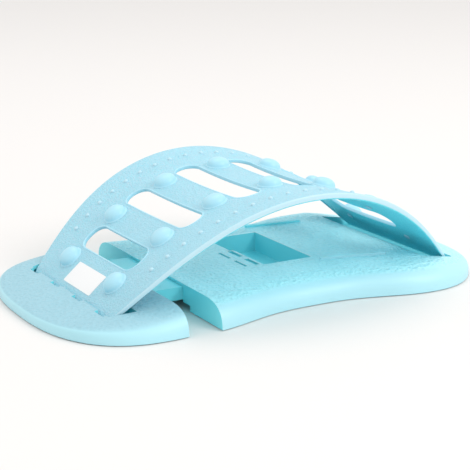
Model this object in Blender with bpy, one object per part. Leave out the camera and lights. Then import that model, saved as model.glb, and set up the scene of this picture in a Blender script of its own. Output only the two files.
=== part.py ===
"""Lumbar back stretcher: a windowed, dished arch board sprung over a base that telescopes in two pieces.

The rest pose is the base pulled fully out. +X runs along the base towards the end of the main piece,
+Z is up, and the origin is at the middle of the footprint on the surface that the stretcher lies on.
All lengths are in metres.
"""
import math

import bmesh
import bpy
from mathutils import Matrix, Vector

# Base outline and section
OPEN_LENGTH = 0.390
TRAVEL = 0.0277
WAIST_HALF = 0.0965
SHOULDER_HALF = 0.1150
SHOULDER_X = 0.1030
MAIN_END_POWER = 2.2
SLIDE_END_POWER = 2.6
DECK_Z = 0.0205
TIP_Z = 0.0080
MAIN_SLOPE_START = 0.112
SLIDE_SLOPE_START = 0.092
FLANK_REACH = 0.030
TIP_REACH = 0.0070
SECTION_POWER = 2.6
TIP_POWER = 5.0
MIDDLE_PULL = 0.12
WALL = 0.0026
GROUND_GAP = 0.0008
GAP = 0.0003
SPLIT_FROM_CENTRE = 0.0914

# Tongue and tunnel
TONGUE_HALF = 0.0492
TONGUE_BOTTOM = 0.0075
TONGUE_TOP = 0.0180
TONGUE_TIP_HALF = 0.0330
TONGUE_TIP_LENGTH = 0.0200
TONGUE_TIP_X = -0.0065
RAIL_WIDTH = 0.0115
RAIL_BOTTOM = 0.0055
COVER_THICK = 0.0016
COVER_SETBACK = 0.0080
SCREW_RADIUS = 0.0030
SCREW_FACE = 0.0021
SCREW_HEAD = 0.0012
SCREW_SHANK = 0.0013
SCREW_LENGTH = 0.0060
SCREW_FROM_END = 0.0090

# Pocket, latch windows and deck ridges
POCKET_LEFT = 0.0036
POCKET_LENGTH = 0.0452
POCKET_NEAR = -0.0356
POCKET_FAR = 0.0590
POCKET_FLOOR = 0.0030
WINDOW_LENGTH = 0.0200
WINDOW_PITCH_Y = 0.0275
WINDOW_FIRST_Y = -0.0225
SLIT_X = -0.0110
SLIT_WIDTH = 0.0026
HOLE_X = -0.0008
HOLE_WIDTH = 0.0046
STEP_DEPTH = 0.0033
STEP_NEAR = 0.0155
RIDGE_HEIGHT = 0.0013
RIDGE_WIDTH = 0.0034
RIDGE_CORNER = 0.0016
RIDGES = (((0.0506, 0.0765), (0.0996, 0.0694)), ((0.0513, -0.0472), (0.1035, -0.0602)))

# Catch that clicks the tongue in place
CATCH_LENGTH = 0.0120
CATCH_TAIL = 0.0040
CATCH_THICK = 0.0020
CATCH_PRESS = 0.0020
CATCH_DROP = 0.0008
CATCH_INSET = 0.0020

# Troughs that the arch stands in
MAIN_TROUGH_LEFT = 0.1298
MAIN_TROUGH_RIGHT = 0.1620
MAIN_TROUGH_HALF = 0.0785
MAIN_LEDGE_X = 0.1480
SLIDE_TROUGH_RIGHT = -0.1330
SLIDE_TROUGH_HALF = 0.0848
SLIDE_TROUGH_TIP_HALF = 0.0773
FOOT_WALL_GAP = 0.0014
LIP_REACH = 0.0046
LIP_THICK = 0.0020
LIP_WIDTH = 0.0280
LIP_PITCH = 0.0440
LIPS = 3
NOTCH_STEP = 0.0014
TROUGH_FLOOR = 0.0022
TROUGH_CORNER = 0.0040

# Arch board: its slope falls as a sine along its length, as in a sprung strip
ARCH_WAVE = 0.3765
ARCH_SWING = 0.741
ARCH_TILT = -0.0384
ARCH_SHIFT = 0.0152
ARCH_X = -0.0009
ARCH_Z = 0.0867
ARCH_LEFT_END = -0.1772
ARCH_RIGHT_END = 0.1822
BOARD_THICK = 0.0051
SHEET_THICK = 0.0027
RIM_WIDTH = 0.0030
CREST_HALF = 0.1105
FOOT_HALF = 0.0740
DISH = 0.0060
FLAT_FOOT_POWER = 4

# Domes and windows in the board
DOME_PAIRS = 7
DOME_PITCH = 0.0507
DOME_MIDDLE_S = 0.0058
DOME_ROW_HALF = 0.0435
DOME_RADIUS = 0.0096
DOME_HEIGHT = 0.0072
DOME_EDGE = 0.0006
DOME_PIN = 0.0020
BUTTON_RADIUS = 0.0030
BUTTON_FACE = 0.0024
PIN_BUTTON = 0.0011
BOARD_WINDOW = 0.0212
FOOT_WINDOW = 0.0235
WINDOW_HALF = 0.0605
WINDOW_TAPER = 0.0270
WINDOW_CORNER = 0.0100
SPLIT_FROM_DOME = 0.0024

# Rubber feet
PAD_RADIUS = 0.0070
PAD_THICK = 0.0016
PAD_BOSS = 0.0085
PAD_FROM_FACE = 0.0150
PAD_FROM_SHOULDER = 0.0285
PAD_FROM_TROUGH = 0.0022

HALF_LENGTH = (OPEN_LENGTH - TRAVEL) / 2
MAIN_CENTRE = TRAVEL / 2
SLIDE_CENTRE = -TRAVEL / 2
MAIN_FACE = MAIN_CENTRE - SPLIT_FROM_CENTRE
SLIDE_FACE = MAIN_FACE - TRAVEL
SPLIT_S = DOME_MIDDLE_S - DOME_RADIUS - SPLIT_FROM_DOME
MAIN_PADS = (
    (MAIN_FACE + PAD_FROM_FACE, SHOULDER_HALF - PAD_FROM_SHOULDER),
    (MAIN_TROUGH_LEFT - WALL - PAD_FROM_TROUGH - PAD_BOSS, SHOULDER_HALF - PAD_FROM_SHOULDER),
)
SLIDE_PAD = (SLIDE_FACE - PAD_FROM_FACE, SHOULDER_HALF - PAD_FROM_SHOULDER)
FAR_AWAY = 0.5
OVERRUN = 0.001
BELOW_FLOOR = -0.010
HOLLOW_FLOOR = -0.004


def material(name, colour, roughness, metallic=0.0):
    made = bpy.data.materials.new(name)
    made.use_nodes = True
    shader = made.node_tree.nodes["Principled BSDF"]
    shader.inputs["Base Color"].default_value = (*colour, 1.0)
    shader.inputs["Roughness"].default_value = roughness
    shader.inputs["Metallic"].default_value = metallic
    made.diffuse_color = (*colour, 1.0)
    return made


def add_object(name, bm, look=None):
    """The bmesh becomes an object whose faces point outwards."""
    bmesh.ops.recalc_face_normals(bm, faces=bm.faces)
    mesh = bpy.data.meshes.new(name)
    bm.to_mesh(mesh)
    bm.free()
    made = bpy.data.objects.new(name, mesh)
    bpy.context.scene.collection.objects.link(made)
    if look:
        mesh.materials.append(look)
    return made


def boolean(target, tool, operation="DIFFERENCE"):
    """The tool is applied to the target and then removed."""
    modifier = target.modifiers.new("boolean", "BOOLEAN")
    modifier.operation = operation
    modifier.solver = "EXACT"
    modifier.object = tool
    graph = bpy.context.evaluated_depsgraph_get()
    result = bpy.data.meshes.new_from_object(target.evaluated_get(graph))
    target.modifiers.clear()
    old = target.data
    target.data = result
    bpy.data.meshes.remove(old)
    bpy.data.objects.remove(tool)


def box(name, low, high):
    bm = bmesh.new()
    size = [b - a for a, b in zip(low, high)]
    middle = [(a + b) / 2 for a, b in zip(low, high)]
    bmesh.ops.create_cube(bm, size=1.0, matrix=Matrix.Translation(middle) @ Matrix.Diagonal((*size, 1.0)))
    return add_object(name, bm)


def cylinder(name, x, y, radius, low, high, segments=20):
    bm = bmesh.new()
    place = Matrix.Translation((x, y, (low + high) / 2))
    bmesh.ops.create_cone(bm, cap_ends=True, segments=segments, radius1=radius, radius2=radius,
                          depth=high - low, matrix=place)
    return add_object(name, bm)


def half_width(x, power):
    """Half of the closed base's width at x from its centre: a waist, then a rounded end."""
    reach = abs(x)
    if reach < SHOULDER_X:
        swell = math.sin(math.pi * reach / (2 * SHOULDER_X)) ** 3
        return WAIST_HALF + (SHOULDER_HALF - WAIST_HALF) * swell
    share = min((reach - SHOULDER_X) / (HALF_LENGTH - SHOULDER_X), 1.0)
    return SHOULDER_HALF * (1 - share ** power) ** (1 / power)


def outline(power, steps):
    """Points around the closed base's outline, evenly spread, with their outward normals."""
    fine = 40 * steps
    side = []
    for i in range(fine + 1):
        x = -HALF_LENGTH * math.cos(math.pi * i / fine)
        side.append(Vector((x, half_width(x, power))))
    lengths = [0.0]
    for a, b in zip(side, side[1:]):
        lengths.append(lengths[-1] + (b - a).length)
    picked = []
    at = 0
    for k in range(steps + 1):
        wanted = lengths[-1] * k / steps
        while at < fine and lengths[at] < wanted:
            at += 1
        picked.append(side[at].copy())
    picked[0].y = 0.0
    picked[-1].y = 0.0
    points = [Vector((p.x, -p.y)) for p in picked]
    points += list(reversed(picked[1:-1]))
    count = len(points)
    normals = []
    for k in range(count):
        along = points[(k + 1) % count] - points[k - 1]
        normals.append(Vector((along.y, -along.x)).normalized())
    return points, normals


def top_z(x, lower, end):
    """Height of the deck at x from the centre: flat, then falling evenly to the piece's own tip."""
    start = MAIN_SLOPE_START if end > 0 else SLIDE_SLOPE_START
    share = max(0.0, (x * end - start) / (HALF_LENGTH - start))
    return DECK_Z - lower - (DECK_Z - TIP_Z) * share


def base_solid(name, end, inset, lower, floor, steps=44):
    """The whole closed base as a solid: rings from the floor up its flank and in to its middle line."""
    bm = bmesh.new()
    centre = MAIN_CENTRE if end > 0 else SLIDE_CENTRE
    points, normals = outline(MAIN_END_POWER if end > 0 else SLIDE_END_POWER, steps)
    flank_rings = 7
    rings = []
    for k in range(flank_rings + 1):
        angle = math.pi / 2 * k / flank_rings
        ring = []
        for p, n in zip(points, normals):
            power = SECTION_POWER * n.y ** 2 + TIP_POWER * n.x ** 2
            inwards = 1 - math.cos(angle) ** (2 / power)
            upwards = math.sin(angle) ** (2 / power)
            reach = FLANK_REACH * n.y ** 2 + TIP_REACH * n.x ** 2
            q = p - n * (inset + (reach - inset) * inwards)
            top = top_z(q.x, lower, end)
            ring.append(bm.verts.new((q.x + centre, q.y, floor + (top - floor) * upwards)))
        rings.append(ring)
    count = len(points)
    for share in (0.35, 0.7, 1.0):
        ring = []
        for vert in rings[flank_rings]:
            x = (vert.co.x - centre) * (1 - MIDDLE_PULL * share)
            y = vert.co.y * (1 - share)
            ring.append(bm.verts.new((x + centre, y, top_z(x, lower, end))))
        rings.append(ring)
    for lower_ring, upper_ring in zip(rings, rings[1:]):
        for k in range(count):
            j = (k + 1) % count
            bm.faces.new((lower_ring[k], lower_ring[j], upper_ring[j], upper_ring[k]))
    bm.faces.new(list(reversed(rings[0])))
    bmesh.ops.remove_doubles(bm, verts=rings[-1], dist=0.00002)
    bmesh.ops.triangulate(bm, faces=bm.faces)
    return add_object(name, bm)


def keep_side(target, x, keep_right):
    """Cuts the object off at a plane square to X."""
    low = (x - FAR_AWAY, -FAR_AWAY, -FAR_AWAY) if keep_right else (x, -FAR_AWAY, -FAR_AWAY)
    high = (x, FAR_AWAY, FAR_AWAY) if keep_right else (x + FAR_AWAY, FAR_AWAY, FAR_AWAY)
    boolean(target, box("cutter", low, high))


def rounded_prism(name, low, high, radius, segments=5):
    """An upright block with rounded corners."""
    bm = bmesh.new()
    corners = [(high[0], high[1], 0), (low[0], high[1], 1), (low[0], low[1], 2), (high[0], low[1], 3)]
    loop = []
    for x, y, turn in corners:
        cx = x - math.copysign(radius, x - (low[0] + high[0]) / 2)
        cy = y - math.copysign(radius, y - (low[1] + high[1]) / 2)
        for k in range(segments + 1):
            angle = math.pi / 2 * (turn + k / segments)
            loop.append(bm.verts.new((cx + radius * math.cos(angle), cy + radius * math.sin(angle), low[2])))
    face = bm.faces.new(loop)
    lifted = bmesh.ops.extrude_face_region(bm, geom=[face])
    for vert in [v for v in lifted["geom"] if isinstance(v, bmesh.types.BMVert)]:
        vert.co.z = high[2]
    return add_object(name, bm)


def prism(name, corners, low, high):
    """An upright block on the given corners."""
    bm = bmesh.new()
    face = bm.faces.new([bm.verts.new((x, y, low)) for x, y in corners])
    lifted = bmesh.ops.extrude_face_region(bm, geom=[face])
    for vert in [v for v in lifted["geom"] if isinstance(v, bmesh.types.BMVert)]:
        vert.co.z = high
    return add_object(name, bm)


# The arch's middle line

def arch_slope(s):
    return ARCH_TILT - ARCH_SWING * math.sin(math.pi * (s - ARCH_SHIFT) / ARCH_WAVE)


def arch_point(s, steps=60):
    """Place of the board's top on its middle line, s along it from the reference point."""
    x = ARCH_X
    z = ARCH_Z
    for k in range(steps):
        slope = arch_slope(s * (k + 0.5) / steps)
        x += math.cos(slope) * s / steps
        z += math.sin(slope) * s / steps
    return x, z


def foot_share(s):
    """How far s lies from the board's middle: 0 at the middle, 1 at either foot."""
    return abs(2 * s - ARCH_LEFT_END - ARCH_RIGHT_END) / (ARCH_RIGHT_END - ARCH_LEFT_END)


def board_half(s):
    """Half of the board's width, widest at the crest."""
    return CREST_HALF - (CREST_HALF - FOOT_HALF) * foot_share(s) ** 2


def dish(s):
    """Rise of the board's edges, fading to nothing at its straight feet."""
    return DISH * (1 - min(foot_share(s), 1.0) ** FLAT_FOOT_POWER)


def board_point(s, y, up):
    """A point on the dished board: up is measured square to it from its top."""
    x, z = arch_point(s)
    slope = arch_slope(s)
    lift = up + dish(s) * (y / CREST_HALF) ** 2
    return Vector((x - math.sin(slope) * lift, y, z + math.cos(slope) * lift))


def board_frame(s, y, up):
    """Matrix at a point of the board: X along it, Y across, Z square to it."""
    slope = arch_slope(s)
    lean = 2 * dish(s) * y / CREST_HALF ** 2
    along = Vector((math.cos(slope), 0, math.sin(slope)))
    normal = Vector((-math.sin(slope), 0, math.cos(slope)))
    across = (Vector((0, 1, 0)) + normal * lean).normalized()
    square = along.cross(across)
    place = Matrix((along, across, square)).transposed().to_4x4()
    place.translation = board_point(s, y, up)
    return place


def board_section(s, across=14):
    """Points around the board's section: a thin sheet with a deeper rim along each long edge."""
    half = board_half(s)
    inner = half - RIM_WIDTH
    loop = [(half * (2 * j / across - 1), 0.0) for j in range(across + 1)]
    loop += [(half, -BOARD_THICK), (inner, -BOARD_THICK)]
    loop += [(inner * (1 - 2 * j / across), -SHEET_THICK) for j in range(across + 1)]
    loop += [(-inner, -BOARD_THICK), (-half, -BOARD_THICK)]
    return loop


def board_solid(name, start, end, look, along=26):
    """One half of the board, drawn from section to section."""
    bm = bmesh.new()
    sections = []
    for i in range(along + 1):
        s = start + (end - start) * i / along
        sections.append([bm.verts.new(board_point(s, y, up)) for y, up in board_section(s)])
    count = len(sections[0])
    for a, b in zip(sections, sections[1:]):
        for k in range(count):
            j = (k + 1) % count
            bm.faces.new((a[k], a[j], b[j], b[k]))
    bm.faces.new(sections[0])
    bm.faces.new(list(reversed(sections[-1])))
    bmesh.ops.triangulate(bm, faces=bm.faces)
    return add_object(name, bm, look)


def window_cutter(s, length_s):
    """A rounded slot through the board between two dome pairs."""
    half = WINDOW_HALF - WINDOW_TAPER * foot_share(s) ** 2
    reach = 2 * BOARD_THICK + DISH
    low = (-length_s / 2, -half, -reach)
    cutter = rounded_prism("cutter", low, [-c for c in low], WINDOW_CORNER)
    slope = arch_slope(s)
    x, z = arch_point(s)
    place = Matrix.Translation((x, 0, z)) @ Matrix.Rotation(-slope, 4, "Y")
    cutter.data.transform(place)
    return cutter


def dome_s(pair):
    return DOME_MIDDLE_S + (pair - (DOME_PAIRS - 1) / 2) * DOME_PITCH


def dome(name, s, y, look):
    """A soft dome on the board, with its pin through the board and a button under it."""
    bm = bmesh.new()
    rise = DOME_HEIGHT - DOME_EDGE
    ball = (DOME_RADIUS ** 2 + rise ** 2) / (2 * rise)
    profile = []
    cap_steps = 4
    widest = math.asin(DOME_RADIUS / ball)
    for k in range(cap_steps + 1):
        angle = widest * k / cap_steps
        profile.append((ball * math.sin(angle), DOME_HEIGHT - ball * (1 - math.cos(angle)) + GAP))
    below = -SHEET_THICK
    profile += [(DOME_RADIUS, GAP), (DOME_PIN, GAP), (DOME_PIN, below - GAP)]
    profile += [(BUTTON_RADIUS, below - GAP), (BUTTON_FACE, below - PIN_BUTTON)]
    profile.append((0.0, below - PIN_BUTTON))
    verts = [bm.verts.new((r, 0, z)) for r, z in profile]
    edges = [bm.edges.new(pair) for pair in zip(verts, verts[1:])]
    bmesh.ops.spin(bm, geom=verts + edges, cent=(0, 0, 0), axis=(0, 0, 1), angle=2 * math.pi, steps=12)
    bmesh.ops.remove_doubles(bm, verts=bm.verts, dist=0.00002)
    bm.transform(board_frame(s, y, 0.0))
    return add_object(name, bm, look)


def make_arch(plastic, soft):
    spans = {
        "arch_board_slide_half": (ARCH_LEFT_END, SPLIT_S - GAP / 2),
        "arch_board_main_half": (SPLIT_S + GAP / 2, ARCH_RIGHT_END),
    }
    for name, (start, end) in spans.items():
        board = board_solid(name, start, end, plastic)
        for gap in range(DOME_PAIRS - 1):
            middle = (dome_s(gap) + dome_s(gap + 1)) / 2
            if start < middle < end:
                outer = gap in (0, DOME_PAIRS - 2)
                boolean(board, window_cutter(middle, FOOT_WINDOW if outer else BOARD_WINDOW))
        for pair in range(DOME_PAIRS):
            if start < dome_s(pair) < end:
                for side in (-1, 1):
                    y = side * DOME_ROW_HALF
                    bore = cylinder("cutter", 0, 0, DOME_PIN + GAP, -2 * BOARD_THICK, BOARD_THICK, 12)
                    bore.data.transform(board_frame(dome_s(pair), y, 0.0))
                    boolean(board, bore)
    for pair in range(DOME_PAIRS):
        for side, row in ((-1, "near"), (1, "far")):
            dome(f"dome_{row}_{pair + 1}", dome_s(pair), side * DOME_ROW_HALF, soft)


def foot_centre(s):
    x, z = arch_point(s)
    slope = arch_slope(s)
    return x + math.sin(slope) * BOARD_THICK / 2, z - math.cos(slope) * BOARD_THICK / 2


def hollow(name, end):
    """The space inside the base's shell, before its ribs and tubs are taken out of it."""
    return base_solid(name, end, WALL, WALL, HOLLOW_FLOOR)


def pad_posts(cavity, places):
    for x, y in places:
        for side in (-1, 1):
            boolean(cavity, cylinder("cutter", x, side * y, PAD_BOSS, PAD_THICK + GAP, FAR_AWAY))


def ridge_solid(start, end):
    """A low round-ended ridge on the deck from start to end."""
    reach = math.dist(start, end) / 2 + RIDGE_WIDTH / 2
    high = RIDGE_WIDTH / 2
    low = (-reach, -high, -RIDGE_HEIGHT)
    made = rounded_prism("ridge", low, [-c for c in low], RIDGE_CORNER)
    turn = math.atan2(end[1] - start[1], end[0] - start[0])
    middle = ((start[0] + end[0]) / 2, (start[1] + end[1]) / 2, DECK_Z)
    made.data.transform(Matrix.Translation(middle) @ Matrix.Rotation(turn, 4, "Z"))
    return made


def make_main_base(plastic):
    base = base_solid("main_base", 1, 0.0, 0.0, GROUND_GAP)
    base.data.materials.append(plastic)
    keep_side(base, MAIN_FACE, True)
    cavity = hollow("cavity", 1)
    keep_side(cavity, MAIN_FACE + WALL, True)
    rail_in = TONGUE_HALF + GAP
    rail_out = rail_in + RAIL_WIDTH
    tip_in = TONGUE_TIP_HALF + GAP
    stop_x = TONGUE_TIP_X - TONGUE_TIP_LENGTH + TRAVEL + 2 * GAP
    ribs = [
        box("cutter", (-FAR_AWAY, -rail_out, RAIL_BOTTOM), (POCKET_LEFT, rail_out, FAR_AWAY)),
        box("cutter", (POCKET_LEFT - WALL, POCKET_NEAR - WALL, GROUND_GAP),
            (POCKET_LEFT + POCKET_LENGTH + WALL, POCKET_FAR + WALL, FAR_AWAY)),
        box("cutter", (MAIN_TROUGH_LEFT - WALL, -MAIN_TROUGH_HALF - WALL, GROUND_GAP),
            (MAIN_TROUGH_RIGHT + WALL, MAIN_TROUGH_HALF + WALL, FAR_AWAY)),
        box("cutter", (POCKET_LEFT + POCKET_LENGTH, -WALL / 2, GROUND_GAP),
            (MAIN_TROUGH_LEFT, WALL / 2, FAR_AWAY)),
    ]
    for rib in ribs:
        boolean(cavity, rib)
    pad_posts(cavity, MAIN_PADS)
    boolean(base, cavity)
    top = FAR_AWAY
    boolean(base, box("cutter", (POCKET_LEFT, POCKET_NEAR, POCKET_FLOOR),
                      (POCKET_LEFT + POCKET_LENGTH, POCKET_FAR, top)))
    boolean(base, box("cutter", (POCKET_LEFT - STEP_DEPTH, STEP_NEAR, TONGUE_BOTTOM - GAP),
                      (POCKET_LEFT + OVERRUN, POCKET_FAR, top)))
    for ridge in RIDGES:
        boolean(base, ridge_solid(*ridge), "UNION")
    foot_x, foot_z = foot_centre(ARCH_RIGHT_END)
    ledge = foot_z - BOARD_THICK / 2 - GAP
    boolean(base, rounded_prism("cutter", (MAIN_TROUGH_LEFT, -MAIN_TROUGH_HALF, ledge),
                                (MAIN_TROUGH_RIGHT, MAIN_TROUGH_HALF, top), TROUGH_CORNER))
    boolean(base, box("cutter", (MAIN_TROUGH_LEFT, -MAIN_TROUGH_HALF + TROUGH_CORNER, TROUGH_FLOOR),
                      (MAIN_LEDGE_X, MAIN_TROUGH_HALF - TROUGH_CORNER, ledge + OVERRUN)))
    tunnel_top = TONGUE_TOP + GAP
    boolean(base, box("cutter", (-FAR_AWAY, -rail_in, BELOW_FLOOR), (stop_x, rail_in, tunnel_top)))
    boolean(base, box("cutter", (stop_x - OVERRUN, -tip_in, TONGUE_BOTTOM - GAP),
                      (POCKET_LEFT + OVERRUN, tip_in, tunnel_top)))
    boolean(base, box("cutter", (-FAR_AWAY, -rail_out - GAP, BELOW_FLOOR),
                      (MAIN_FACE + WALL + OVERRUN, rail_out + GAP, RAIL_BOTTOM)))
    for k in (0, 1):
        y = WINDOW_FIRST_Y + k * WINDOW_PITCH_Y
        for x, width in ((SLIT_X, SLIT_WIDTH), (HOLE_X, HOLE_WIDTH)):
            boolean(base, box("cutter", (x - width / 2, y - WINDOW_LENGTH / 2, tunnel_top - OVERRUN),
                              (x + width / 2, y + WINDOW_LENGTH / 2, top)))
    bore_top = RAIL_BOTTOM + SCREW_LENGTH + OVERRUN
    for x, y in screw_places():
        boolean(base, cylinder("cutter", x, y, SCREW_SHANK + GAP, 0.0, bore_top, 10))
    return base


def make_slide_base(plastic):
    base = base_solid("slide_base", -1, 0.0, 0.0, GROUND_GAP)
    base.data.materials.append(plastic)
    keep_side(base, SLIDE_FACE, False)
    cavity = hollow("cavity", -1)
    keep_side(cavity, SLIDE_FACE - WALL, False)
    foot_x, foot_z = foot_centre(ARCH_LEFT_END)
    wall_x = foot_x - BOARD_THICK / 2 - FOOT_WALL_GAP
    floor = foot_z - BOARD_THICK / 2 - GAP
    boolean(cavity, box("cutter", (wall_x - WALL, -SLIDE_TROUGH_HALF - WALL, GROUND_GAP),
                        (SLIDE_TROUGH_RIGHT + WALL, SLIDE_TROUGH_HALF + WALL, FAR_AWAY)))
    boolean(cavity, box("cutter", (SLIDE_TROUGH_RIGHT, -TONGUE_HALF, TONGUE_BOTTOM),
                        (SLIDE_FACE, TONGUE_HALF, FAR_AWAY)))
    pad_posts(cavity, (SLIDE_PAD,))
    boolean(base, cavity)
    inner = -SLIDE_TROUGH_HALF
    lip_x = wall_x + LIP_REACH
    roof = top_z(wall_x - SLIDE_CENTRE, LIP_THICK, -1)
    boolean(base, box("cutter", (wall_x, inner, floor), (SLIDE_TROUGH_RIGHT, -inner, roof)))
    tip = SLIDE_TROUGH_TIP_HALF
    corners = [(lip_x, -tip), (SLIDE_TROUGH_RIGHT, inner), (SLIDE_TROUGH_RIGHT, -inner), (lip_x, tip)]
    boolean(base, prism("cutter", corners, floor, FAR_AWAY))
    for k in range(LIPS + 1):
        y = (k - LIPS / 2) * LIP_PITCH
        reach = (LIP_PITCH - LIP_WIDTH) / 2
        boolean(base, box("cutter", (wall_x + NOTCH_STEP, y - reach, floor),
                          (lip_x + NOTCH_STEP, y + reach, FAR_AWAY)))
    tongue = box("tongue", (SLIDE_FACE - OVERRUN, -TONGUE_HALF, TONGUE_BOTTOM),
                 (TONGUE_TIP_X - TONGUE_TIP_LENGTH, TONGUE_HALF, TONGUE_TOP))
    boolean(tongue, box("tip", (TONGUE_TIP_X - TONGUE_TIP_LENGTH - OVERRUN, -TONGUE_TIP_HALF, TONGUE_BOTTOM),
                        (TONGUE_TIP_X, TONGUE_TIP_HALF, TONGUE_TOP)), "UNION")
    well_low, well_high = catch_well()
    boolean(tongue, box("cutter", well_low, well_high))
    boolean(base, tongue, "UNION")
    return base


def catch_span():
    """Low and high Y of the release catch, just inside the ends of the latch slits."""
    low = WINDOW_FIRST_Y - WINDOW_LENGTH / 2 + CATCH_INSET
    return low, low + WINDOW_PITCH_Y + WINDOW_LENGTH - 2 * CATCH_INSET


def catch_well():
    low, high = catch_span()
    x = SLIT_X - CATCH_LENGTH / 2
    bottom = TONGUE_TOP - CATCH_DROP - CATCH_THICK - CATCH_PRESS - 2 * GAP
    return (x - GAP - CATCH_TAIL, low - GAP, bottom), (TONGUE_TIP_X + OVERRUN, high + GAP, FAR_AWAY)


def make_catch(plastic):
    """The catch bar in the tongue's tip, with a rounded tooth below each latch slit."""
    low, high = catch_span()
    top = TONGUE_TOP - CATCH_DROP
    x = SLIT_X - CATCH_LENGTH / 2 - CATCH_TAIL
    bar = box("release_catch", (x, low, top - CATCH_THICK), (TONGUE_TIP_X, high, top))
    bar.data.materials.append(plastic)
    for k in (0, 1):
        y = WINDOW_FIRST_Y + k * WINDOW_PITCH_Y
        reach = WINDOW_LENGTH / 2 - CATCH_INSET - 2 * GAP
        boolean(bar, box("tooth", (SLIT_X - SLIT_WIDTH / 2, y - reach, top - CATCH_THICK / 2),
                         (SLIT_X + SLIT_WIDTH / 2, y + reach, TONGUE_TOP - GAP)), "UNION")
    return bar


def screw_places():
    rail_middle = TONGUE_HALF + GAP + RAIL_WIDTH / 2
    left = MAIN_FACE + COVER_SETBACK + SCREW_FROM_END
    right = POCKET_LEFT - WALL - GAP - SCREW_FROM_END
    return [(x, side * rail_middle) for x in (left, right) for side in (-1, 1)]


def make_cover(plastic):
    """The plate under the tunnel: its raised middle carries the tongue, its edges screw to the rails."""
    bm = bmesh.new()
    outer = TONGUE_HALF + RAIL_WIDTH
    inner = TONGUE_HALF - 2 * GAP
    low = RAIL_BOTTOM - GAP - COVER_THICK
    high = RAIL_BOTTOM - GAP
    carry = TONGUE_BOTTOM - GAP
    loop = [(-outer, low), (outer, low), (outer, high), (inner, high)]
    loop += [(-y, z) for y, z in ((-inner, carry), (inner, carry), (inner, high), (outer, high))]
    start = MAIN_FACE + COVER_SETBACK
    end = POCKET_LEFT - WALL - GAP
    face = bm.faces.new([bm.verts.new((start, y, z)) for y, z in loop])
    pulled = bmesh.ops.extrude_face_region(bm, geom=[face])
    for vert in [v for v in pulled["geom"] if isinstance(v, bmesh.types.BMVert)]:
        vert.co.x = end
    cover = add_object("tunnel_cover", bm, plastic)
    for x, y in screw_places():
        boolean(cover, cylinder("cutter", x, y, SCREW_SHANK + GAP, 0.0, RAIL_BOTTOM, 10))
    return cover


def make_screws(metal):
    """Four pan-head screws that hold the cover plate up."""
    head_top = RAIL_BOTTOM - GAP - COVER_THICK - GAP
    top = RAIL_BOTTOM + SCREW_LENGTH
    profile = [(0, head_top - SCREW_HEAD), (SCREW_FACE, head_top - SCREW_HEAD),
               (SCREW_RADIUS, head_top - SCREW_HEAD / 2), (SCREW_RADIUS, head_top), (SCREW_SHANK, head_top),
               (SCREW_SHANK, top), (0, top)]
    for number, (x, y) in enumerate(screw_places(), 1):
        bm = bmesh.new()
        verts = [bm.verts.new((x + r, y, z)) for r, z in profile]
        edges = [bm.edges.new(pair) for pair in zip(verts, verts[1:])]
        bmesh.ops.spin(bm, geom=verts + edges, cent=(x, y, 0), axis=(0, 0, 1), angle=2 * math.pi, steps=10)
        bmesh.ops.remove_doubles(bm, verts=bm.verts, dist=0.00002)
        add_object(f"cover_screw_{number}", bm, metal)


def make_pads(rubber):
    places = [("main_pad", x, y) for x, y in MAIN_PADS] + [("slide_pad", *SLIDE_PAD)]
    count = {}
    for prefix, x, y in places:
        for side in (-1, 1):
            count[prefix] = count.get(prefix, 0) + 1
            pad = cylinder(f"{prefix}_{count[prefix]}", x, side * y, PAD_RADIUS, 0.0, PAD_THICK)
            pad.data.materials.append(rubber)


def main():
    for old in list(bpy.data.objects):
        bpy.data.objects.remove(old)
    aqua = material("aqua_plastic", (0.42, 0.75, 0.83), 0.42)
    soft = material("soft_aqua", (0.38, 0.73, 0.84), 0.35)
    board = material("board_aqua", (0.44, 0.74, 0.83), 0.5)
    rubber = material("pad_rubber", (0.60, 0.68, 0.70), 0.85)
    steel = material("screw_steel", (0.55, 0.56, 0.57), 0.35, 1.0)
    make_main_base(aqua)
    make_slide_base(aqua)
    make_arch(board, soft)
    make_catch(aqua)
    make_cover(aqua)
    make_screws(steel)
    make_pads(rubber)


main()
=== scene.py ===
"""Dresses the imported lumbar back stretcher: shells, board, domes, label, finishes, light and camera.

The file is laid out as a Blender add-on. Run as a script, it makes every piece in turn. All lengths are in
metres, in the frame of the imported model: +X along the base towards the end of the main piece, +Z up.
"""

import math

import bmesh
import bpy
from bpy.props import FloatProperty, FloatVectorProperty, IntProperty, PointerProperty
from bpy.types import Operator, Panel, PropertyGroup
from mathutils import Matrix, Vector


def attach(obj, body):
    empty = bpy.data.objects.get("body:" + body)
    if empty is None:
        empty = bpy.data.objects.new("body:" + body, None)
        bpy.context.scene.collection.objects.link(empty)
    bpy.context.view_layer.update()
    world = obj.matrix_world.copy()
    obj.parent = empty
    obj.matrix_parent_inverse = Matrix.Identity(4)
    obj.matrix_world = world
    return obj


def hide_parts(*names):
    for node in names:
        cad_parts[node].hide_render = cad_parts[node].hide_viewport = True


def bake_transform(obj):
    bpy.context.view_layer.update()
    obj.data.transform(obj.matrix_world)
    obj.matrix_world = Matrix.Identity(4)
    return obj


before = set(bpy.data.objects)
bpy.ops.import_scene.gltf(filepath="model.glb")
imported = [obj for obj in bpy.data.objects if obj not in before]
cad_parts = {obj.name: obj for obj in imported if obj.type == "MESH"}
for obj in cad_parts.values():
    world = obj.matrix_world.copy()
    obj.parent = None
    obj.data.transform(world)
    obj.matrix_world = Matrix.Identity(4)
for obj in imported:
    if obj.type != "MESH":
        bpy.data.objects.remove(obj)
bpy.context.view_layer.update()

bl_info = {
    "name": "Lumbar Back Stretcher",
    "version": (1, 0, 0),
    "blender": (4, 5, 0),
    "location": "View3D > Sidebar > Stretcher",
    "description": "Makes the dressed pieces of a lumbar back stretcher on its packed frame",
    "category": "Add Mesh",
}

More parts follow.
